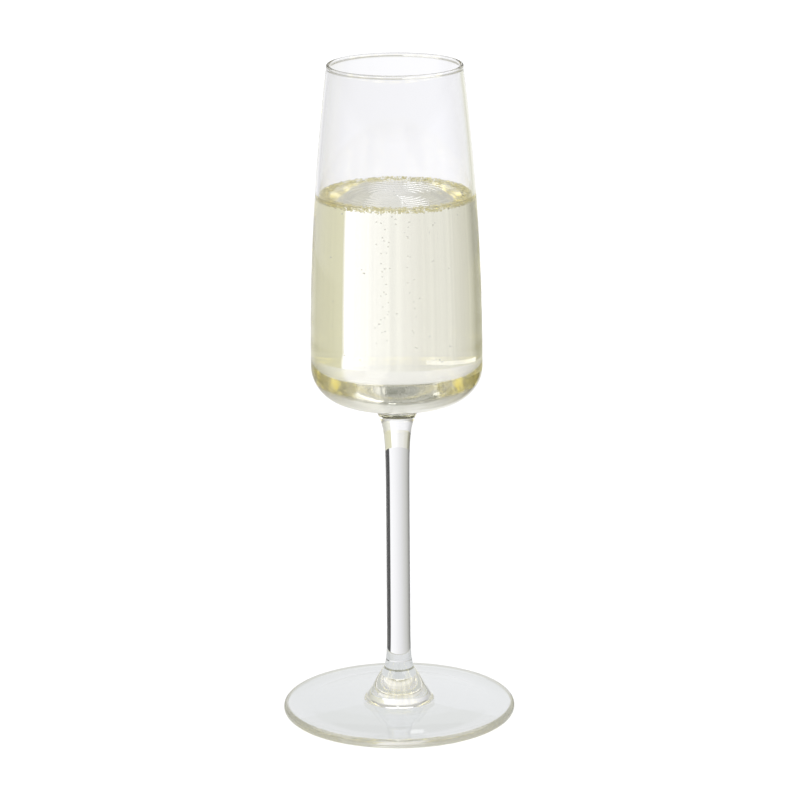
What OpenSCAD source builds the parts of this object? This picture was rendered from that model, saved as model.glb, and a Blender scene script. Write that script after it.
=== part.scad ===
// Stemmed flute glass, poured with sparkling wine.
// The origin is the middle of the ring that the foot stands on, and +Z runs up the axis of the glass.
// Every piece is turned about that axis. Bowl, stem and foot are three gathers of one clear glass,
// fused at two flat seams, one under the bowl and one above the foot.

/* [Bowl] */
// Height of the whole glass, table to rim
glass_h = 220; // [205:1:240]
// Outside radius at the rim
rim_r = 22.1; // [20:0.1:26]
// Outside radius at the widest place
bowl_r = 28.3; // [27:0.1:31]
// Height of the widest place
belly_z = 120.3; // [114:0.1:124]
// Radius of the shoulder that turns the wall in under the bowl
shoulder_r = 12.1; // [8:0.1:14]
// Slope of the underside where it leaves the shoulder, in degrees
underside_slope = 13.2; // [8:0.1:20]
// Wall thickness just under the rim
lip_t = 1.05; // [0.8:0.05:1.2]
// Wall thickness at the widest place
belly_t = 1.4; // [1:0.05:2.2]
// Thickness of the base on the axis
base_t = 3; // [2.5:0.1:5]
// Radius of the shoulder inside the bowl
cavity_shoulder_r = 11.6; // [8:0.1:14]
// Slope of the cavity's floor where it meets its shoulder, in degrees
cavity_slope = 6; // [3:0.5:12]
// Thickness of the fire-polished bead along the rim
rim_bead_t = 1.3; // [1.25:0.05:1.8]

/* [Stem] */
// Radius of the stem's straight length
stem_r = 3.95; // [3.2:0.05:4.6]
// Height of the seam between bowl and stem
neck_seam_z = 103.2; // [98:0.1:104]
// How much wider the stem is at that seam
neck_flare = 2.4; // [1:0.05:3]
// Height over which the neck's flare grows by a factor of e
neck_flare_h = 4.8; // [3:0.1:6]
// Softness of the fillet between the neck and the bowl's underside
neck_fillet = 0.5; // [0.3:0.05:0.9]
// How much wider the stem is at the seam above the foot
ankle_flare = 1; // [0.5:0.05:1.6]
// Height over which that flare dies away by a factor of e
ankle_flare_h = 3.2; // [2:0.1:6]

/* [Foot] */
// Radius of the foot
foot_r = 38.85; // [34:0.05:42]
// Thickness of the foot's rounded edge
foot_edge_t = 3; // [2:0.1:3.6]
// Height of the seam between foot and stem
ankle_seam_z = 15.4; // [13:0.1:18]
// Radius where the bell under the stem meets its skirt
bell_r = 8.7; // [7.5:0.1:10]
// Height of that place
bell_z = 8.8; // [8:0.1:11]
// Radius of the bell's bulge in section
bell_curve = 40; // [12:1:80]
// Slope of the skirt that runs down from the bell, in degrees from level
skirt_slope = 60; // [50:1:75]
// Length of that skirt in section
skirt_l = 4; // [3:0.1:4.4]
// Radius of the fillet between the skirt and the top of the foot
skirt_fillet = 2; // [1:0.1:2.4]
// Inner radius of the flat ring that the foot stands on
rest_ring_r = 31; // [26:0.5:32]
// Height of the hollow under the foot, on the axis
hollow_h = 1.2; // [0.6:0.1:1.8]

/* [Wine] */
// Height of the wine's surface above the table
wine_z = 177; // [150:1:195]
// Width of the collar of foam along the wall
foam_w = 2; // [1:0.1:4]
// Height of that collar above the wine
foam_h = 0.9; // [0.5:0.1:1.5]
// Gas bubbles held in the wine
bubble_count = 36; // [8:1:60]
// Radius of the largest bubble
bubble_r = 0.6; // [0.3:0.05:0.8]

/* [Hidden] */
$fn = 96;
long_arc_steps = 28;
short_arc_steps = 14;
golden_angle = 137.508;

// bubbles: the smallest as a share of the largest, the steps between the distances from the axis
// of one bubble and the next, and the lowest bubble's height above the cavity's floor
smallest_bubble = 0.55;
ring_step = 7;
bubble_clear = 6;

glass_tint = [0.86, 0.9, 0.9, 0.4];
wine_tint = [0.93, 0.9, 0.66, 0.6];
foam_tint = [0.96, 0.94, 0.84, 0.8];

// the wall ends halfway up the bead that rounds it off
wall_top_z = glass_h - rim_bead_t / 2;

// the underside is part of a sphere centred on the axis, and tangent to the shoulder
underside_curve = (bowl_r - shoulder_r) / sin(underside_slope) + shoulder_r;
underside_centre_z = belly_z + (underside_curve - shoulder_r) * cos(underside_slope);

// the cavity is drawn the same way, up from its own floor
cavity_r = bowl_r - belly_t;
cavity_floor_z = underside_centre_z - underside_curve + base_t;
cavity_curve = (cavity_r - cavity_shoulder_r) / sin(cavity_slope) + cavity_shoulder_r;
cavity_belly_z = cavity_floor_z + cavity_curve
    - (cavity_curve - cavity_shoulder_r) * cos(cavity_slope);

// Points along an arc about [r, z], from one angle to another
function arc(centre, radius, from, to, steps) = [
    for (i = [0:steps])
        let (a = from + (to - from) * i / steps)
        centre + radius * [cos(a), sin(a)]
];

// The wall from its top down to the widest place: one long arc, upright at the widest place
function wall_curve(top_r, wide_r, wide_z) =
    (pow(wall_top_z - wide_z, 2) + pow(wide_r - top_r, 2)) / (2 * (wide_r - top_r));
function wall(top_r, wide_r, wide_z) =
    let (curve = wall_curve(top_r, wide_r, wide_z))
    arc([wide_r - curve, wide_z], curve,
        asin((wall_top_z - wide_z) / curve), 0, long_arc_steps);

// The smaller of two heights, rounded where they cross, the way hot glass runs into a fillet
function soft_min(a, b, softness) = -softness * ln(exp(-a / softness) + exp(-b / softness));

// Height of the neck's flare and of the bowl's underside at a radius
function flare_z(r) = neck_seam_z + neck_flare_h * ln((r - stem_r) / neck_flare);
function underside_z(r) = underside_centre_z - sqrt(pow(underside_curve, 2) - r * r);
function neck_z(r) = soft_min(flare_z(r), underside_z(r), neck_fillet);

// Radius of the stem at a height: straight, with a flare at each end
function stem_radius(z) = stem_r
    + neck_flare * exp((z - neck_seam_z) / neck_flare_h)
    + ankle_flare * exp((ankle_seam_z - z) / ankle_flare_h);

// The bead that rounds off the rim, from its inside over the top to its outside
function bead() =
    let (tuck = acos(lip_t / rim_bead_t))
    arc([rim_r - lip_t / 2, wall_top_z], rim_bead_t / 2, 180 + tuck, -tuck, long_arc_steps);

// The outside of the bowl, from the wall under the bead down to the seam on the axis
function bowl_outside() =
    let (
        underside_r = underside_curve * sin(underside_slope),
        neck_r = stem_radius(neck_seam_z)
    )
    concat(
        wall(rim_r, bowl_r, belly_z),
        arc([bowl_r - shoulder_r, belly_z], shoulder_r,
            0, underside_slope - 90, short_arc_steps),
        [for (i = [1:long_arc_steps - 1])
            let (r = underside_r + (neck_r - underside_r) * i / long_arc_steps)
            [r, neck_z(r)]],
        [[neck_r, neck_seam_z], [0, neck_seam_z]]
    );

// The inside of the bowl, from the wall under the bead down to the middle of the floor
function cavity() = concat(
    wall(rim_r - lip_t, cavity_r, cavity_belly_z),
    arc([cavity_r - cavity_shoulder_r, cavity_belly_z], cavity_shoulder_r,
        0, cavity_slope - 90, short_arc_steps),
    arc([0, cavity_floor_z + cavity_curve], cavity_curve,
        cavity_slope - 90, -90, short_arc_steps)
);

// A list of points without its first, and one turned end for end
function rest_of(points) = [for (i = [1:len(points) - 1]) points[i]];
function backwards(points) = [for (i = [len(points) - 1:-1:0]) points[i]];

// A bubble's place: spread about the axis by the golden angle, and up the wine in even steps
module bubble(i) {
    share = (i + 0.5) / bubble_count;
    size = bubble_r * (smallest_bubble + (1 - smallest_bubble) * share);
    ring = (i * ring_step % bubble_count + 0.5) / bubble_count;
    low = cavity_floor_z + bubble_clear;
    rotate([0, 0, i * golden_angle])
        translate([
            (cavity_r - cavity_shoulder_r) * sqrt(ring),
            0,
            low + (wine_z - low - 2 * bubble_r) * share
        ])
            sphere(r = size);
}

module bowl() {
    color(glass_tint) rotate_extrude() polygon(concat(
        bead(), rest_of(bowl_outside()), backwards(rest_of(cavity()))
    ));
}

module stem() {
    length = neck_seam_z - ankle_seam_z;
    steps = 2 * long_arc_steps;
    color(glass_tint) rotate_extrude() polygon(concat(
        [[0, neck_seam_z]],
        [for (i = [0:steps])
            let (z = neck_seam_z - length * (1 - cos(180 * i / steps)) / 2)
            [stem_radius(z), z]],
        [[0, ankle_seam_z]]
    ));
}

module foot() {
    ankle_r = stem_radius(ankle_seam_z);
    bell_chord = norm([bell_r - ankle_r, ankle_seam_z - bell_z]);
    bell_lean = atan2(ankle_seam_z - bell_z, bell_r - ankle_r);
    bell_half = asin(bell_chord / 2 / bell_curve);
    bell_middle = ([ankle_r, ankle_seam_z] + [bell_r, bell_z]) / 2;
    bell_out = [sin(bell_lean), cos(bell_lean)];
    bell_centre = bell_middle - bell_out * bell_curve * cos(bell_half);
    skirt_end = [bell_r, bell_z] + skirt_l * [cos(skirt_slope), -sin(skirt_slope)];
    fillet_centre = skirt_end + skirt_fillet * [sin(skirt_slope), cos(skirt_slope)];
    edge = foot_edge_t / 2;
    hollow_curve = (pow(rest_ring_r, 2) + pow(hollow_h, 2)) / (2 * hollow_h);
    color(glass_tint) rotate_extrude() polygon(concat(
        [[0, ankle_seam_z]],
        arc(bell_centre, bell_curve,
            90 - bell_lean + bell_half, 90 - bell_lean - bell_half, short_arc_steps),
        arc(fillet_centre, skirt_fillet, 270 - skirt_slope, 270, short_arc_steps),
        arc([foot_r - edge, edge], edge, 90, -90, short_arc_steps),
        arc([0, hollow_h - hollow_curve], hollow_curve,
            acos(rest_ring_r / hollow_curve), 90, long_arc_steps)
    ));
}

module wine() {
    color(wine_tint) difference() {
        rotate_extrude() intersection() {
            polygon(concat([[0, wall_top_z]], cavity()));
            translate([0, wine_z - glass_h]) square([glass_h, glass_h]);
        }
        for (i = [0:bubble_count - 1]) bubble(i);
    }
}

module foam_ring() {
    curve = wall_curve(rim_r - lip_t, cavity_r, cavity_belly_z);
    wall_at_wine_r = cavity_r - curve + sqrt(pow(curve, 2) - pow(wine_z - cavity_belly_z, 2));
    color(foam_tint) rotate_extrude() intersection() {
        polygon(concat([[0, wall_top_z]], cavity()));
        translate([wall_at_wine_r - foam_w, wine_z]) square([2 * foam_w, foam_h]);
        translate([wall_at_wine_r, wine_z - foam_w + foam_h]) circle(r = foam_w);
    }
}

bowl();
stem();
foot();
wine();
foam_ring();
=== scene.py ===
import math
import random

import bpy
from mathutils import Matrix, Vector


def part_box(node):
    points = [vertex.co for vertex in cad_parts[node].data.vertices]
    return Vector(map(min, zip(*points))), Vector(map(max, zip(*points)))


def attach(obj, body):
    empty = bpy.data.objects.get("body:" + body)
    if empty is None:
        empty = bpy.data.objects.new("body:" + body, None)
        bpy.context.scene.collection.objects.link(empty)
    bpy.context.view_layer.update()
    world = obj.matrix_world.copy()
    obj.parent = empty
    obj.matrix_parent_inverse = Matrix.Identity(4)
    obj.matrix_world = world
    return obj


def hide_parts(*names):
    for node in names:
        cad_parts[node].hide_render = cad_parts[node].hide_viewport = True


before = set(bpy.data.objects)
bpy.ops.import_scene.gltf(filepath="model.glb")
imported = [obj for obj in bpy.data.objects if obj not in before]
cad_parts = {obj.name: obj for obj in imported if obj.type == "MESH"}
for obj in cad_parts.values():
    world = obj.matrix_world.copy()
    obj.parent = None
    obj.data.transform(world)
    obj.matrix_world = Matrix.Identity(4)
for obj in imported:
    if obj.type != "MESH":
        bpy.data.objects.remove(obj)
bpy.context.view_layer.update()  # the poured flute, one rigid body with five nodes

# ---------------------------------------------------------------------------------------------
# Measures of the glass. Heights and widest radii come from the frame; the rest are its outline.
# ---------------------------------------------------------------------------------------------
MM = 0.001
bowl_low, bowl_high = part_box("bowl")
_, foot_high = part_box("foot")
wine_low, wine_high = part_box("wine")

GLASS_H = bowl_high[2]
NECK_SEAM_Z = bowl_low[2]
ANKLE_SEAM_Z = foot_high[2]
BOWL_R = bowl_high[0]
FOOT_R = foot_high[0]
CAVITY_R = wine_high[0]
CAVITY_FLOOR_Z = wine_low[2]
WINE_Z = wine_high[2]

RIM_R = 22.1 * MM
LIP_T = 1.05 * MM
RIM_BEAD_T = 1.3 * MM
BELLY_Z = 120.3 * MM
SHOULDER_R = 12.1 * MM
UNDERSIDE_SLOPE = 13.2  # degrees
CAVITY_SHOULDER_R = 11.6 * MM
CAVITY_SLOPE = 6  # degrees
STEM_R = 3.95 * MM
NECK_FLARE = 2.4 * MM
NECK_FLARE_H = 4.8 * MM
NECK_FILLET = 0.5 * MM
ANKLE_FLARE = 1 * MM
ANKLE_FLARE_H = 3.2 * MM
FOOT_EDGE_T = 3 * MM
BELL_R = 8.7 * MM
BELL_Z = 8.8 * MM
BELL_CURVE = 40 * MM
SKIRT_SLOPE = 60  # degrees from level
SKIRT_L = 4 * MM
SKIRT_FILLET = 2 * MM
REST_RING_R = 31 * MM
HOLLOW_H = 1.2 * MM

WALL_TOP_Z = GLASS_H - RIM_BEAD_T / 2

# the underside and the cavity's floor are parts of spheres, tangent to their shoulders
UNDERSIDE_CURVE = (BOWL_R - SHOULDER_R) / math.sin(math.radians(UNDERSIDE_SLOPE)) + SHOULDER_R
UNDERSIDE_CENTRE_Z = (BELLY_Z
                      + (UNDERSIDE_CURVE - SHOULDER_R) * math.cos(math.radians(UNDERSIDE_SLOPE)))
CAVITY_CURVE = ((CAVITY_R - CAVITY_SHOULDER_R) / math.sin(math.radians(CAVITY_SLOPE))
                + CAVITY_SHOULDER_R)
CAVITY_BELLY_Z = (CAVITY_FLOOR_Z + CAVITY_CURVE
                  - (CAVITY_CURVE - CAVITY_SHOULDER_R) * math.cos(math.radians(CAVITY_SLOPE)))

WETTING = 0.04 * MM  # the wine reaches this far into the wall, so no gap of air shows between them
FOAM_W = 2.2 * MM  # width of the foam's collar
FOAM_REACH = (-0.8, 1.1)  # mm, how far it goes below and above the wine's level
FINE_BUBBLES = 2000  # in that collar
FINE_BUBBLE_R = (0.14, 0.36)  # mm, smallest and largest
LARGE_BUBBLES = 260
LARGE_BUBBLE_R = (0.28, 0.6)
BEAD_LINES = 5  # lines of bubbles that rise in the wine
SINGLE_BUBBLES = 34  # and loose ones
SINGLE_BUBBLE_R = (0.14, 0.28)
WANDER = 1.2 * MM  # how far a bubble in a line strays from it
NECK_RING_H = 1.3 * MM  # height of the ring of painted shade at the seam under the bowl
ANKLE_RING_H = 0.5 * MM  # and of the one at the seam above the foot
SEAM_PINCH = 0.25 * MM  # how deep the seam above the foot is drawn in
SEAM_PINCH_H = 0.4 * MM  # and over what height
SEAM_GAP = 0.01 * MM  # between two fused pieces, so that no two faces lie in one place
MENISCUS_H = 0.9 * MM  # how far the wine climbs the wall
MENISCUS_W = 1.1 * MM  # how fast that climb dies away
RIPPLE_H = 0.02 * MM  # rings that the rising bubbles send over the surface
RIPPLE_L = 2.6 * MM  # from crest to crest

TURNS = 256  # facets round the axis
LONG_ARC_STEPS = 90
SHOULDER_STEPS = 40
SHORT_ARC_STEPS = 24
BEAD_STEPS = 28
FINE_BALL = (5, 8)  # rings and facets of a fine bubble
SHARP_EDGE = 50  # degrees between two faces
ON_AXIS = 1e-9  # a radius below this is none

GLASS_IOR = 1.52
WINE_IOR = 1.34
FOAM_IOR = 1.33
DRAG_LINE_W = 2.5 * MM
DRAG_LINE_L = 60 * MM
DRAG_LINE_DEPTH = 0.006 * MM
WINE_ABSORPTION = 5.5  # per metre
FOAM_CLEARNESS = 0.94  # the share of light that goes through a film; the rest is milky
FOAM_CLUMP = 1.5 * MM

# ---------------------------------------------------------------------------------------------
# Small tools
# ---------------------------------------------------------------------------------------------


def linear(hex_colour):
    """An sRGB hex colour as linear red, green, blue and alpha."""
    parts = [int(hex_colour[i:i + 2], 16) / 255 for i in (1, 3, 5)]
    return tuple(c / 12.92 if c <= 0.04045 else ((c + 0.055) / 1.055) ** 2.4 for c in parts) + (1.0,)


def add(tree, kind, inputs=None, **settings):
    """Adds a node. settings are its own properties; inputs are values or other nodes' outputs."""
    made = tree.nodes.new(kind)
    for name, value in settings.items():
        setattr(made, name, value)
    for name, value in (inputs or {}).items():
        if isinstance(value, bpy.types.NodeSocket):
            tree.links.new(value, made.inputs[name])
        else:
            made.inputs[name].default_value = value
    return made


def new_material(name):
    """An empty node material and its tree."""
    material = bpy.data.materials.new(name)
    material.use_nodes = True
    material.node_tree.nodes.clear()
    return material, material.node_tree


def arc(centre, radius, start, end, steps):
    """Points along an arc about (r, z), from one angle to another in degrees."""
    angles = [math.radians(start + (end - start) * i / steps) for i in range(steps + 1)]
    return [(centre[0] + radius * math.cos(a), centre[1] + radius * math.sin(a)) for a in angles]


# ---------------------------------------------------------------------------------------------
# Outlines
# ---------------------------------------------------------------------------------------------


def wall_curve(top_r, wide_r, wide_z):
    """Radius of the long arc of a wall that is upright at its widest place."""
    return ((WALL_TOP_Z - wide_z) ** 2 + (wide_r - top_r) ** 2) / (2 * (wide_r - top_r))


def wall(top_r, wide_r, wide_z):
    """That arc, from the widest place up to the bead."""
    curve = wall_curve(top_r, wide_r, wide_z)
    return arc((wide_r - curve, wide_z), curve, 0,
               math.degrees(math.asin((WALL_TOP_Z - wide_z) / curve)), LONG_ARC_STEPS)


def soft_min(a, b, softness):
    """The smaller of two heights, rounded where they cross, the way hot glass runs into a fillet."""
    low = min(a, b)
    return low - softness * math.log(math.exp((low - a) / softness) + math.exp((low - b) / softness))


def pinch(z):
    """How much the fused seam above the foot is drawn in."""
    return SEAM_PINCH * math.exp(-((z - ANKLE_SEAM_Z) / SEAM_PINCH_H) ** 2)


def stem_radius(z):
    """Radius of the stem at a height: straight, with a flare at each end."""
    return (STEM_R + NECK_FLARE * math.exp((z - NECK_SEAM_Z) / NECK_FLARE_H)
            + ANKLE_FLARE * math.exp((ANKLE_SEAM_Z - z) / ANKLE_FLARE_H) - pinch(z))


def neck_z(r):
    """Height of the bowl's underside at a radius, where it runs into the neck."""
    flare = NECK_SEAM_Z + NECK_FLARE_H * math.log((r - STEM_R) / NECK_FLARE)
    underside = UNDERSIDE_CENTRE_Z - math.sqrt(UNDERSIDE_CURVE ** 2 - r * r)
    return soft_min(flare, underside, NECK_FILLET)


def bowl_outside():
    """From the seam's edge up to the wall under the bead."""
    underside_r = UNDERSIDE_CURVE * math.sin(math.radians(UNDERSIDE_SLOPE))
    neck_r = stem_radius(NECK_SEAM_Z)
    steps = 80
    crowding = 1.6  # steps lie closer together near the neck
    neck = [(neck_r, NECK_SEAM_Z)]
    for i in range(1, steps):
        r = neck_r + (underside_r - neck_r) * (i / steps) ** crowding
        neck.append((r, neck_z(r)))
    shoulder = arc((BOWL_R - SHOULDER_R, BELLY_Z), SHOULDER_R, UNDERSIDE_SLOPE - 90, 0,
                   SHOULDER_STEPS)
    return neck + shoulder + wall(RIM_R, BOWL_R, BELLY_Z)[1:-1]


def bead():
    """Over the rim, from the outside wall to the inside wall."""
    tuck = math.degrees(math.acos(LIP_T / RIM_BEAD_T))
    return arc((RIM_R - LIP_T / 2, WALL_TOP_Z), RIM_BEAD_T / 2, -tuck, 180 + tuck, BEAD_STEPS)


def cavity(grown=0.0):
    """The inside of the bowl, from the middle of the floor up to the wall under the bead, grown
    into the glass by some depth."""
    floor = arc((0, CAVITY_FLOOR_Z + CAVITY_CURVE), CAVITY_CURVE + grown,
                -90, CAVITY_SLOPE - 90, SHORT_ARC_STEPS)
    shoulder = arc((CAVITY_R - CAVITY_SHOULDER_R, CAVITY_BELLY_Z), CAVITY_SHOULDER_R + grown,
                   CAVITY_SLOPE - 90, 0, SHOULDER_STEPS)
    side = [(r + grown, z) for r, z in wall(RIM_R - LIP_T, CAVITY_R, CAVITY_BELLY_Z)]
    return floor + shoulder[1:] + side[1:]


def wall_at(z, grown=0.0):
    """Radius of the cavity's wall at a height above its widest place."""
    curve = wall_curve(RIM_R - LIP_T, CAVITY_R, CAVITY_BELLY_Z)
    return CAVITY_R - curve + math.sqrt(curve ** 2 - (z - CAVITY_BELLY_Z) ** 2) + grown


# ---------------------------------------------------------------------------------------------
# Meshes
# ---------------------------------------------------------------------------------------------


def turned(stretches, turns=TURNS):
    """Turns an outline about the axis. stretches are (finish number, points), each starting where
    the one before ends, with the solid on the left of the way they run. Gives vertices, faces and
    each face's finish number."""
    outline, finishes = [stretches[0][1][0]], []
    for finish, points in stretches:
        outline += points[1:]
        finishes += [finish] * (len(points) - 1)
    vertices, rings = [], []
    for r, z in outline:
        if r < ON_AXIS:
            rings.append([len(vertices)] * turns)
            vertices.append((0.0, 0.0, z))
            continue
        rings.append(list(range(len(vertices), len(vertices) + turns)))
        for t in range(turns):
            a = 2 * math.pi * t / turns
            vertices.append((r * math.cos(a), r * math.sin(a), z))
    faces, face_finishes = [], []
    for i, finish in enumerate(finishes):
        low, high = rings[i], rings[i + 1]
        for t in range(turns):
            n = (t + 1) % turns
            corners = dict.fromkeys((low[t], low[n], high[n], high[t]))
            faces.append(tuple(corners))
            face_finishes.append(finish)
    return vertices, faces, face_finishes


def ball(centre, radius, rings=8, turns=12):
    """A small ball's vertices and faces, facing out."""
    outline = [(radius * math.sin(math.pi * i / rings), -radius * math.cos(math.pi * i / rings))
               for i in range(rings + 1)]
    outline[0] = (0, outline[0][1])
    outline[-1] = (0, outline[-1][1])
    vertices, faces, _ = turned([(0, outline)], turns)
    return [tuple(Vector(v) + Vector(centre)) for v in vertices], faces


def joined(parts):
    """One list of vertices and faces from several."""
    vertices, faces = [], []
    for part_vertices, part_faces in parts:
        start = len(vertices)
        vertices += part_vertices
        faces += [tuple(start + v for v in face) for face in part_faces]
    return vertices, faces


def new_piece(name, vertices, faces, materials, finishes=None):
    """A smooth piece of the poured glass."""
    mesh = bpy.data.meshes.new(name)
    mesh.from_pydata(vertices, [], faces)
    mesh.update()
    for material in materials:
        mesh.materials.append(material)
    if finishes:
        mesh.polygons.foreach_set("material_index", finishes)
    mesh.polygons.foreach_set("use_smooth", [True] * len(faces))
    mesh.set_sharp_from_angle(angle=math.radians(SHARP_EDGE))
    piece = bpy.data.objects.new(name, mesh)
    bpy.context.scene.collection.objects.link(piece)
    return piece


# ---------------------------------------------------------------------------------------------
# Camera
# ---------------------------------------------------------------------------------------------
CAMERA_PLACE = (0.95 * MM, -1.1288, 0.4187)
CAMERA_DOWN = 15.39  # degrees below level
CAMERA_LEAN = 0.394  # degrees, to one side
CAMERA_SENSOR = 36  # mm
CAMERA_LENS = 159.8  # mm


def make_camera():
    """A long lens that looks down on the glass a little, and leans a hair to one side."""
    camera = bpy.data.cameras.new("camera")
    camera.sensor_width = CAMERA_SENSOR
    camera.lens = CAMERA_LENS
    holder = bpy.data.objects.new("camera", camera)
    holder.matrix_world = (Matrix.Translation(CAMERA_PLACE)
                           @ Matrix.Rotation(math.radians(90 - CAMERA_DOWN), 4, "X")
                           @ Matrix.Rotation(math.radians(-CAMERA_LEAN), 4, "Z"))
    bpy.context.scene.collection.objects.link(holder)
    bpy.context.scene.camera = holder


make_camera()

# ---------------------------------------------------------------------------------------------
# Materials
# ---------------------------------------------------------------------------------------------


def drawn_glass():
    """Soda-lime glass, blown and drawn, then fire-polished: clear and mirror smooth, with the faint
    upright drag lines that a drawn wall keeps, which bend what the eye sees through it a little."""
    material, tree = new_material("drawn_glass")
    place = add(tree, "ShaderNodeTexCoord")
    stretch = add(tree, "ShaderNodeMapping", {
        "Vector": place.outputs["Object"],
        "Scale": (1 / DRAG_LINE_W, 1 / DRAG_LINE_W, 1 / DRAG_LINE_L)})
    lines = add(tree, "ShaderNodeTexNoise", {"Vector": stretch.outputs["Vector"], "Scale": 1.0,
                                             "Detail": 2.0, "Roughness": 0.5})
    relief = add(tree, "ShaderNodeBump", {"Height": lines.outputs["Fac"], "Strength": 1.0,
                                          "Distance": DRAG_LINE_DEPTH})
    glass = add(tree, "ShaderNodeBsdfPrincipled", {
        "Base Color": linear("#FDFDFE"), "Roughness": 0.0, "IOR": GLASS_IOR,
        "Transmission Weight": 1.0, "Normal": relief.outputs["Normal"]})
    add(tree, "ShaderNodeOutputMaterial", {"Surface": glass.outputs["BSDF"]})
    return material


def fused_seam():
    """Where two gathers of the same hot glass melted together: nothing to see."""
    material, tree = new_material("fused_seam")
    glass = add(tree, "ShaderNodeBsdfPrincipled", {
        "Base Color": linear("#FFFFFF"), "Roughness": 0.0, "IOR": 1.0, "Transmission Weight": 1.0})
    add(tree, "ShaderNodeOutputMaterial", {"Surface": glass.outputs["BSDF"]})
    return material


def painted_dark_line(name, tint):
    """Fire-polished soda-lime glass where an edge or a seam rounds over, its colour darkened into a
    fine dark line of painted shade, not the glass's own tint."""
    material, tree = new_material(name)
    glass = add(tree, "ShaderNodeBsdfPrincipled", {
        "Base Color": linear(tint), "Roughness": 0.0, "IOR": GLASS_IOR,
        "Transmission Weight": 1.0})
    add(tree, "ShaderNodeOutputMaterial", {"Surface": glass.outputs["BSDF"]})
    return material


def sparkling_wine():
    """Brut sparkling wine, fined and filtered: water clear, so the eye gets only a pale straw tint,
    deeper where the light goes a long way in it."""
    material, tree = new_material("sparkling_wine")
    liquid = add(tree, "ShaderNodeBsdfPrincipled", {
        "Base Color": linear("#FFFFFF"), "Roughness": 0.0, "IOR": WINE_IOR,
        "Transmission Weight": 1.0})
    depth = add(tree, "ShaderNodeVolumeAbsorption", {"Color": linear("#F8F4C4"),
                                                     "Density": WINE_ABSORPTION})
    add(tree, "ShaderNodeOutputMaterial", {"Surface": liquid.outputs["BSDF"],
                                           "Volume": depth.outputs["Volume"]})
    return material


def wine_foam():
    """Mousse, gas bubbles held in films of wine: each one is clear with a dark edge, and the eye
    gets a milky cream where many lie on each other."""
    material, tree = new_material("wine_foam")
    place = add(tree, "ShaderNodeTexCoord")
    clumps = add(tree, "ShaderNodeTexNoise", {"Vector": place.outputs["Object"],
                                              "Scale": 1 / FOAM_CLUMP, "Detail": 3.0})
    tone = add(tree, "ShaderNodeMixRGB", {"Fac": clumps.outputs["Fac"], "Color1": linear("#FFFEF2"),
                                          "Color2": linear("#F6F1CE")})
    film = add(tree, "ShaderNodeBsdfPrincipled", {
        "Base Color": tone.outputs["Color"], "Roughness": 0.0, "IOR": FOAM_IOR,
        "Transmission Weight": FOAM_CLEARNESS})
    add(tree, "ShaderNodeOutputMaterial", {"Surface": film.outputs["BSDF"]})
    return material


# ---------------------------------------------------------------------------------------------
# Pieces
# ---------------------------------------------------------------------------------------------
CLEAR, SEAM, EDGE, RING = range(4)  # finish numbers, in the order of each piece's materials; EDGE and RING carry painted shade


def turned_piece(name, stretches, materials):
    """A piece turned about the axis from the stretches of its outline."""
    vertices, faces, finishes = turned(stretches)
    return new_piece(name, vertices, faces, materials, finishes)


def make_bowl(glass, seam, edge, ring):
    """The blown bowl with its bead, shoulder, thick base and neck."""
    over_rim = bead()
    crown = slice(len(over_rim) * 2 // 5, len(over_rim) * 3 // 5 + 1)  # the middle fifth, darkened with painted shade
    inside = cavity()[::-1]
    inside[-1] = (0, inside[-1][1])
    outside = bowl_outside() + over_rim[:crown.start + 1]
    above_ring = sum(z < NECK_SEAM_Z + NECK_RING_H for _, z in outside)
    # the band above the neck's seam is painted shade
    return turned_piece("bowl", [
        (SEAM, [(0, NECK_SEAM_Z), outside[0]]),
        (RING, outside[:above_ring + 1]),
        (CLEAR, outside[above_ring:]),
        (EDGE, over_rim[crown]),
        (CLEAR, over_rim[crown.stop - 1:] + inside[1:])], [glass, seam, edge, ring])


def make_stem(glass, seam):
    """The drawn stem between its two seams."""
    steps = 160
    low, high = ANKLE_SEAM_Z + SEAM_GAP, NECK_SEAM_Z - SEAM_GAP
    heights = [low + (high - low) * (1 - math.cos(math.pi * i / steps)) / 2 for i in range(steps + 1)]
    side = [(stem_radius(z), z) for z in heights]
    return turned_piece("stem", [
        (SEAM, [(0, low), side[0]]),
        (CLEAR, side),
        (SEAM, [side[-1], (0, high)])], [glass, seam])


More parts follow.
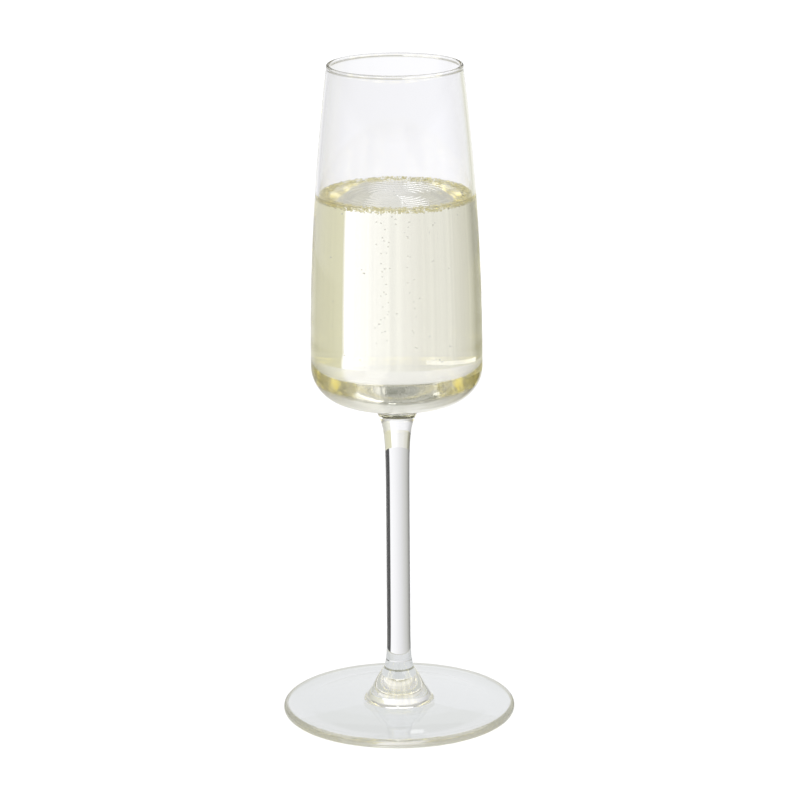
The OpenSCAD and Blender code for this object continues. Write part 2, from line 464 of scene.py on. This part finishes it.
def make_foot(glass, seam, edge, ring):
    """The disc with its rounded edge and hollow underside, and the skirt and bell that carry the
    stem."""
    ankle_r = stem_radius(ANKLE_SEAM_Z)
    across, down = BELL_R - ankle_r, ANKLE_SEAM_Z - BELL_Z
    lean = math.degrees(math.atan2(down, across))
    half = math.degrees(math.asin(math.hypot(across, down) / 2 / BELL_CURVE))
    reach = BELL_CURVE * math.cos(math.radians(half))
    bell_centre = ((ankle_r + BELL_R) / 2 - reach * math.sin(math.radians(lean)),
                   (ANKLE_SEAM_Z + BELL_Z) / 2 - reach * math.cos(math.radians(lean)))
    bell = arc(bell_centre, BELL_CURVE, 90 - lean - half, 90 - lean + half, SHORT_ARC_STEPS)
    slope = math.radians(SKIRT_SLOPE)
    fillet_centre = (BELL_R + SKIRT_L * math.cos(slope) + SKIRT_FILLET * math.sin(slope),
                     BELL_Z - SKIRT_L * math.sin(slope) + SKIRT_FILLET * math.cos(slope))
    skirt = arc(fillet_centre, SKIRT_FILLET, 270, 270 - SKIRT_SLOPE, SHORT_ARC_STEPS)
    edge_r = FOOT_EDGE_T / 2
    over_edge = arc((FOOT_R - edge_r, edge_r), edge_r, -90, 90, SHORT_ARC_STEPS)
    hollow_curve = (REST_RING_R ** 2 + HOLLOW_H ** 2) / (2 * HOLLOW_H)
    hollow = arc((0, HOLLOW_H - hollow_curve), hollow_curve, 90,
                 math.degrees(math.acos(REST_RING_R / hollow_curve)), SHOULDER_STEPS)
    hollow[0] = (0, hollow[0][1])
    steps = 20
    (start_r, start_z), (end_r, end_z) = over_edge[-1], skirt[0]
    top = [(start_r + (end_r - start_r) * i / steps, start_z + (end_z - start_z) * i / steps)
           for i in range(1, steps)]
    upper = over_edge[-1:] + top + skirt + bell
    below_ring = sum(z < ANKLE_SEAM_Z - ANKLE_RING_H for _, z in upper) - 1
    # the rounded edge and the band under the ankle's seam are painted shade
    return turned_piece("foot", [
        (CLEAR, hollow + over_edge[:1]),
        (EDGE, over_edge),
        (CLEAR, upper[:below_ring + 1]),
        (RING, upper[below_ring:]),
        (SEAM, [upper[-1], (0, ANKLE_SEAM_Z)])], [glass, seam, edge, ring])


def make_wine(liquid):
    """The wine up to its level, climbing the wall in a meniscus, with gas bubbles as hollows."""
    top_z = WINE_Z + MENISCUS_H
    clear = 0.2 * MM  # the wall's last point lies at least this far below the meniscus's edge
    bed = [(r, z) for r, z in cavity(WETTING) if z < top_z - clear]
    edge_r = wall_at(top_z, WETTING)
    bed[0] = (0, bed[0][1])
    steps = 140
    crowding = 1.4  # steps lie closer together near the wall
    surface = []
    for i in range(steps + 1):
        r = edge_r * (1 - (i / steps) ** crowding)
        ripple = RIPPLE_H * math.cos(2 * math.pi * r / RIPPLE_L)
        surface.append((r, WINE_Z + ripple + MENISCUS_H * math.exp((r - edge_r) / MENISCUS_W)))
    surface[-1] = (0, surface[-1][1])
    vertices, faces, _ = turned([(0, bed + surface)])
    parts = [(vertices, faces)]
    for centre, radius in rising_bubbles():
        hollow_vertices, hollow_faces = ball(centre, radius)
        parts.append((hollow_vertices, [face[::-1] for face in hollow_faces]))
    vertices, faces = joined(parts)
    return new_piece("wine", vertices, faces, [liquid])


def rising_bubbles():
    """Centres and radii of the gas bubbles: some that rise in lines and grow on the way up, and
    single ones, more of them near the surface. None touches the wall."""
    chance = random.Random(7)
    bubbles = []
    depth = WINE_Z - CAVITY_FLOOR_Z
    for _ in range(BEAD_LINES):
        angle = chance.uniform(0, 2 * math.pi)
        out = chance.uniform(2, 14) * MM
        z = CAVITY_FLOOR_Z + chance.uniform(10, 30) * MM
        while z < WINE_Z - 4 * MM:
            share = (z - CAVITY_FLOOR_Z) / depth
            bubbles.append(((out * math.cos(angle) + chance.uniform(-WANDER, WANDER),
                             out * math.sin(angle) + chance.uniform(-WANDER, WANDER), z),
                            (0.14 + 0.1 * share) * MM))
            z += chance.uniform(2, 9) * MM
    for _ in range(SINGLE_BUBBLES):
        angle = chance.uniform(0, 2 * math.pi)
        out = 17 * MM * math.sqrt(chance.random())
        z = WINE_Z - 3 * MM - (depth - 12 * MM) * chance.random() ** 1.6
        bubbles.append(((out * math.cos(angle), out * math.sin(angle), z),
                        chance.uniform(*SINGLE_BUBBLE_R) * MM))
    return bubbles


def make_foam(film):
    """The collar of foam: a bed of fine bubbles along the wall, in and on the wine, and larger ones
    among them, most of which have gathered on the right and the left."""
    chance = random.Random(11)
    parts = []
    for _ in range(FINE_BUBBLES):
        radius = chance.uniform(*FINE_BUBBLE_R) * MM
        angle = chance.uniform(0, 2 * math.pi)
        z = WINE_Z + chance.uniform(*FOAM_REACH) * MM
        inward = chance.random() ** 1.5 * FOAM_W * (1 - 0.4 * abs(z - WINE_Z) / MM)
        out = wall_at(z) - radius - inward
        parts.append(ball((out * math.cos(angle), out * math.sin(angle), z), radius, *FINE_BALL))
    for _ in range(LARGE_BUBBLES):
        radius = chance.uniform(*LARGE_BUBBLE_R) * MM
        angle = chance.choice((chance.uniform(0, 2 * math.pi), chance.gauss(0, 0.5),
                               chance.gauss(math.pi, 0.5)))
        z = WINE_Z + radius * chance.uniform(-0.2, 0.8)
        out = wall_at(z) - radius - FOAM_W * chance.uniform(0.1, 1.1)
        parts.append(ball((out * math.cos(angle), out * math.sin(angle), z), radius))
    vertices, faces = joined(parts)
    return new_piece("foam_ring", vertices, faces, [film])


glass = drawn_glass()
seam = fused_seam()
# fine dark lines of painted shade: at the two seams, over the rim's crown and round the foot's edge
seam_painted_shade = painted_dark_line("painted_shade_seams", "#8E8C78")
rim_painted_shade = painted_dark_line("painted_shade_rim", "#98989C")
foot_edge = painted_dark_line("painted_shade_foot_rounding", "#D8D6C8")
pieces = {
    "bowl": (make_bowl(glass, seam, rim_painted_shade, seam_painted_shade), "clear_glass"),
    "stem": (make_stem(glass, seam), "clear_glass"),
    "foot": (make_foot(glass, seam, foot_edge, seam_painted_shade), "clear_glass"),
    "wine": (make_wine(sparkling_wine()), "sparkling_wine"),
    "foam_ring": (make_foam(wine_foam()), "foam"),
}
for node_name, (piece, slot_name) in pieces.items():
    piece.visible_shadow = False  # clear glass under soft light leaves the paper white
    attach(piece, "root")
    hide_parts(node_name)

# ---------------------------------------------------------------------------------------------
# Studio
# ---------------------------------------------------------------------------------------------


def make_floor():
    """A sheet of white paper that runs on past the picture."""
    material, tree = new_material("white_paper")
    place = add(tree, "ShaderNodeTexCoord")
    # paper tooth of about 1 mm
    tooth = add(tree, "ShaderNodeTexNoise", {"Vector": place.outputs["Object"], "Scale": 1 / MM})
    relief = add(tree, "ShaderNodeBump", {"Height": tooth.outputs["Fac"], "Strength": 0.2,
                                          "Distance": 0.02 * MM})
    paper = add(tree, "ShaderNodeBsdfPrincipled", {
        "Base Color": linear("#F6F6F6"), "Roughness": 0.9, "Specular IOR Level": 0.2,
        "Normal": relief.outputs["Normal"]})
    add(tree, "ShaderNodeOutputMaterial", {"Surface": paper.outputs["BSDF"]})
    half = 8.0
    mesh = bpy.data.meshes.new("floor")
    under = -0.1 * MM  # a breath of air under the foot's ring
    mesh.from_pydata([(-half, -half, under), (half, -half, under), (half, half, under),
                      (-half, half, under)], [], [(0, 1, 2, 3)])
    mesh.materials.append(material)
    floor = bpy.data.objects.new("floor", mesh)
    bpy.context.scene.collection.objects.link(floor)


def only_in_glass(thing):
    """Hides a studio card from everything but reflections and what is seen through the glass."""
    thing.visible_camera = False
    thing.visible_diffuse = False
    thing.visible_shadow = False
    thing.visible_volume_scatter = False


# Azimuth round the glass in degrees, 0 behind it and positive to the right, and the linear colour
# and brightness there
LOW_WALL = [
    (-180, (0.7, 0.7, 0.7)), (-100, (0.6, 0.6, 0.6)), (-80, (0.26, 0.26, 0.25)),
    (-45, (0.32, 0.31, 0.22)), (-36, (0.68, 0.67, 0.56)), (-24, (0.77, 0.76, 0.68)),
    (-17, (0.86, 0.855, 0.80)), (-8, (0.885, 0.88, 0.84)), (-5, (0.93, 0.925, 0.90)),
    (2, (1.04, 1.04, 1.03)), (9, (1.16, 1.16, 1.18)), (18.4, (1.35, 1.35, 1.38)),
    (19.0, (0.76, 0.745, 0.53)), (60, (0.74, 0.725, 0.55)), (80, (0.5, 0.5, 0.5)),
    (100, (0.7, 0.7, 0.7)), (180, (0.7, 0.7, 0.7))]
BRIGHT_WALL = [
    (-180, (0.7, 0.7, 0.7)), (-100, (0.7, 0.7, 0.7)), (-80, (0.5, 0.5, 0.5)),
    (-45, (0.6, 0.6, 0.6)), (-20, (0.95, 0.95, 0.96)), (-5, (1.0, 1.0, 1.01)),
    (5, (1.06, 1.06, 1.08)), (17, (1.1, 1.1, 1.12)), (20, (0.88, 0.88, 0.77)),
    (45, (0.65, 0.65, 0.56)), (80, (0.5, 0.5, 0.5)), (100, (0.7, 0.7, 0.7)),
    (180, (0.7, 0.7, 0.7))]
HIGH_WALL = [
    (-180, (0.3, 0.3, 0.28)), (-45, (0.4, 0.39, 0.35)), (-12, (0.85, 0.85, 0.82)),
    (12, (0.9, 0.9, 0.87)), (45, (0.4, 0.39, 0.35)), (180, (0.3, 0.3, 0.28))]
TENT_FLOOR = [
    (-180, (0.7, 0.7, 0.7)), (-100, (0.55, 0.55, 0.55)), (-85, (0.20, 0.20, 0.20)),
    (-62, (0.20, 0.20, 0.19)), (-40, (0.50, 0.50, 0.47)), (-22, (0.66, 0.66, 0.64)),
    (-8, (0.80, 0.80, 0.81)), (0, (0.88, 0.88, 0.89)), (12, (0.98, 0.98, 0.99)),
    (30.0, (1.05, 1.05, 1.06)), (33.0, (0.05, 0.05, 0.05)), (75, (0.05, 0.05, 0.05)),
    (95, (0.6, 0.6, 0.6)), (180, (0.7, 0.7, 0.7))]
WARM_PATCHES = [(3.4, 3.2, 2.2), (1.5, 1.25, 0.2), (0.5, 0.42, 0.12), (2.4, 2.05, 0.5)]
PATCHES_PER_SIDE = 12
FIRST_PATCH = 96  # azimuth in degrees
PATCH_STEP = 7  # and from one patch to the next

TENT_R = 450 * MM
HEM_R = 405 * MM  # where the wall's cloth lies over onto the floor's
FOOT_CLOTH_R = 43 * MM  # just past the foot
ON_PAPER = 0.2 * MM
UNDER_GLASS = -0.05 * MM  # between the paper and the foot's ring
LOW_WALL_TOP = 0.072
BRIGHT_WALL_TOP = 0.2
HIGH_WALL_TOP = 0.26
TENT_TOP = 0.42
TENT_FACETS = 96
FOLD_DEPTH = 0.1  # of the cloth's brightness
FOLD_STEP = 2.0  # degrees from fold to fold
STRIP_STEPS = 16
ROOM_BRIGHTNESS = 0.6


def warm_sides():
    """A dim ring with uneven warm patches on the two sides towards the camera."""
    stops = [(-90, (0.3, 0.29, 0.25)), (0, (0.6, 0.59, 0.54)), (90, (0.3, 0.29, 0.25))]
    for i in range(PATCHES_PER_SIDE):
        colour = WARM_PATCHES[i * 3 % len(WARM_PATCHES)]
        azimuth = FIRST_PATCH + PATCH_STEP * i
        stops += [(azimuth, colour), (-azimuth, colour)]
    return sorted(stops)


def even(*colour):
    """The same colour and brightness all round."""
    return [(-180, colour), (180, colour)]


def tent_cloth(name, stops, depth=0.0):
    """Glowing cloth whose brightness changes round the glass, with upright folds of some depth."""
    material, tree = new_material(name)
    place = add(tree, "ShaderNodeTexCoord")
    turn = add(tree, "ShaderNodeMapping", {"Vector": place.outputs["Object"],
                                           "Rotation": (0, 0, math.radians(-90)),
                                           "Scale": (-1, 1, 1)})
    round_it = add(tree, "ShaderNodeTexGradient", {"Vector": turn.outputs["Vector"]},
                   gradient_type="RADIAL")
    ramp = add(tree, "ShaderNodeValToRGB", {"Fac": round_it.outputs["Fac"]})
    fold_count = add(tree, "ShaderNodeMath", {0: round_it.outputs["Fac"], 1: 360 / FOLD_STEP},
                     operation="MULTIPLY")
    folds = add(tree, "ShaderNodeTexNoise", {"W": fold_count.outputs["Value"], "Scale": 1.0,
                                             "Detail": 2.0}, noise_dimensions="1D")
    shade = add(tree, "ShaderNodeMapRange", {"Value": folds.outputs["Fac"], "To Min": 1 - depth,
                                             "To Max": 1 + depth})
    brightest = max(max(colour) for _, colour in stops)
    marks = ramp.color_ramp.elements
    while len(marks) < len(stops):
        marks.new(0.5)
    for mark, (azimuth, colour) in zip(marks, stops):
        mark.position = (azimuth + 180) / 360
        mark.color = (*[c / brightest for c in colour], 1)
    strength = add(tree, "ShaderNodeMath", {0: shade.outputs["Result"], 1: brightest},
                   operation="MULTIPLY")
    light = add(tree, "ShaderNodeEmission", {"Color": ramp.outputs["Color"],
                                             "Strength": strength.outputs["Value"]})
    add(tree, "ShaderNodeOutputMaterial", {"Surface": light.outputs["Emission"]})
    material.cycles.emission_sampling = "NONE"
    return material


def make_tent_part(name, low, high, stops, depth=0.0):
    """Part of the light tent: a band of cloth between two (radius, height) rings."""
    vertices, faces, _ = turned([(0, [low, high])], TENT_FACETS)
    make_card(name, vertices, faces, tent_cloth(name, stops, depth))


def make_strip_light(name, radius, tall, start, end, brightness):
    """A strip of light round part of the glass. Each end is an azimuth and a height."""
    vertices = []
    for i in range(STRIP_STEPS + 1):
        azimuth = math.radians(start[0] + (end[0] - start[0]) * i / STRIP_STEPS)
        low = start[1] + (end[1] - start[1]) * i / STRIP_STEPS
        for z in (low, low + tall):
            vertices.append((radius * math.sin(azimuth), radius * math.cos(azimuth), z))
    faces = [(2 * i, 2 * i + 2, 2 * i + 3, 2 * i + 1) for i in range(STRIP_STEPS)]
    cloth = tent_cloth(name, even(brightness, brightness, brightness))
    return make_card(name, vertices, faces, cloth)


def make_flag(name, height, across, along, stops):
    """A level card above the glass, from one x to another and from one y to another."""
    vertices = [(across[0], along[0], height), (across[1], along[0], height),
                (across[1], along[1], height), (across[0], along[1], height)]
    make_card(name, vertices, [(0, 1, 2, 3)], tent_cloth(name, stops))


def make_card(name, vertices, faces, material):
    """A piece of the studio that shows only in the glass."""
    mesh = bpy.data.meshes.new(name)
    mesh.from_pydata(vertices, [], faces)
    mesh.materials.append(material)
    card = bpy.data.objects.new(name, mesh)
    bpy.context.scene.collection.objects.link(card)
    only_in_glass(card)
    return card


def make_softbox(name, place, aim, width, height, brightness):
    """A large area light. Its brightness is the radiance of its face."""
    light = bpy.data.lights.new(name, "AREA")
    light.shape = "RECTANGLE"
    light.size, light.size_y = width, height
    light.energy = brightness * width * height * math.pi
    box = bpy.data.objects.new(name, light)
    box.location = place
    box.rotation_euler = (Vector(aim) - Vector(place)).to_track_quat("-Z", "Y").to_euler()
    box.visible_camera = False
    bpy.context.scene.collection.objects.link(box)


def make_world():
    """The room round the set: dim and even."""
    world = bpy.data.worlds.new("room")
    world.use_nodes = True
    world.node_tree.nodes.clear()
    air = add(world.node_tree, "ShaderNodeBackground", {"Color": linear("#D8D8DA"),
                                                        "Strength": ROOM_BRIGHTNESS})
    add(world.node_tree, "ShaderNodeOutputWorld", {"Surface": air.outputs["Background"]})
    bpy.context.scene.world = world


make_floor()
make_tent_part("tent_low_wall", (TENT_R, ON_PAPER), (TENT_R, LOW_WALL_TOP), LOW_WALL, FOLD_DEPTH)
make_tent_part("tent_bright_wall", (TENT_R, LOW_WALL_TOP), (TENT_R, BRIGHT_WALL_TOP), BRIGHT_WALL)
make_tent_part("tent_high_wall", (TENT_R, BRIGHT_WALL_TOP), (TENT_R, HIGH_WALL_TOP), HIGH_WALL)
make_tent_part("tent_top", (TENT_R, HIGH_WALL_TOP), (TENT_R, TENT_TOP), warm_sides())
make_tent_part("tent_hem", (TENT_R, ON_PAPER), (HEM_R, ON_PAPER), LOW_WALL, FOLD_DEPTH)
make_tent_part("tent_floor", (HEM_R, ON_PAPER), (FOOT_CLOTH_R, ON_PAPER), TENT_FLOOR)
make_tent_part("cloth_under_foot", (FOOT_CLOTH_R, UNDER_GLASS), (0, UNDER_GLASS),
               even(0.72, 0.74, 0.735))
strip_light = make_strip_light("strip_light", radius=0.08, tall=0.0016, start=(68, 0.1076),
                               end=(147, 0.1140), brightness=4.4)
strip_light.visible_transmission = False  # shows only as a reflection, low on the right
make_strip_light("surface_light", radius=0.44, tall=0.03, start=(0.5, 0.285), end=(3.5, 0.285),
                 brightness=2.4)
make_flag("dark_flag", height=0.6, across=(-0.3, 0.1), along=(-0.75, 0.08),
          stops=even(0.1, 0.11, 0.07))
make_softbox("overhead_softbox", place=(0, 1.6, 2.6), aim=(0, 1.6, 0), width=7.0, height=7.0,
             brightness=1.2)
make_world()

GLASS_BOUNCES = 96  # light crosses the thick base and the foot many times before it leaves them
CUT_OUT_BOUNCES = 24
SPARKLE_LIMIT = 6.0  # tames stray bright sparks
scene = bpy.context.scene
scene.view_settings.view_transform = "Standard"
scene.cycles.max_bounces = GLASS_BOUNCES
scene.cycles.transmission_bounces = GLASS_BOUNCES
scene.cycles.glossy_bounces = GLASS_BOUNCES
scene.cycles.transparent_max_bounces = CUT_OUT_BOUNCES
scene.cycles.sample_clamp_indirect = SPARKLE_LIMIT
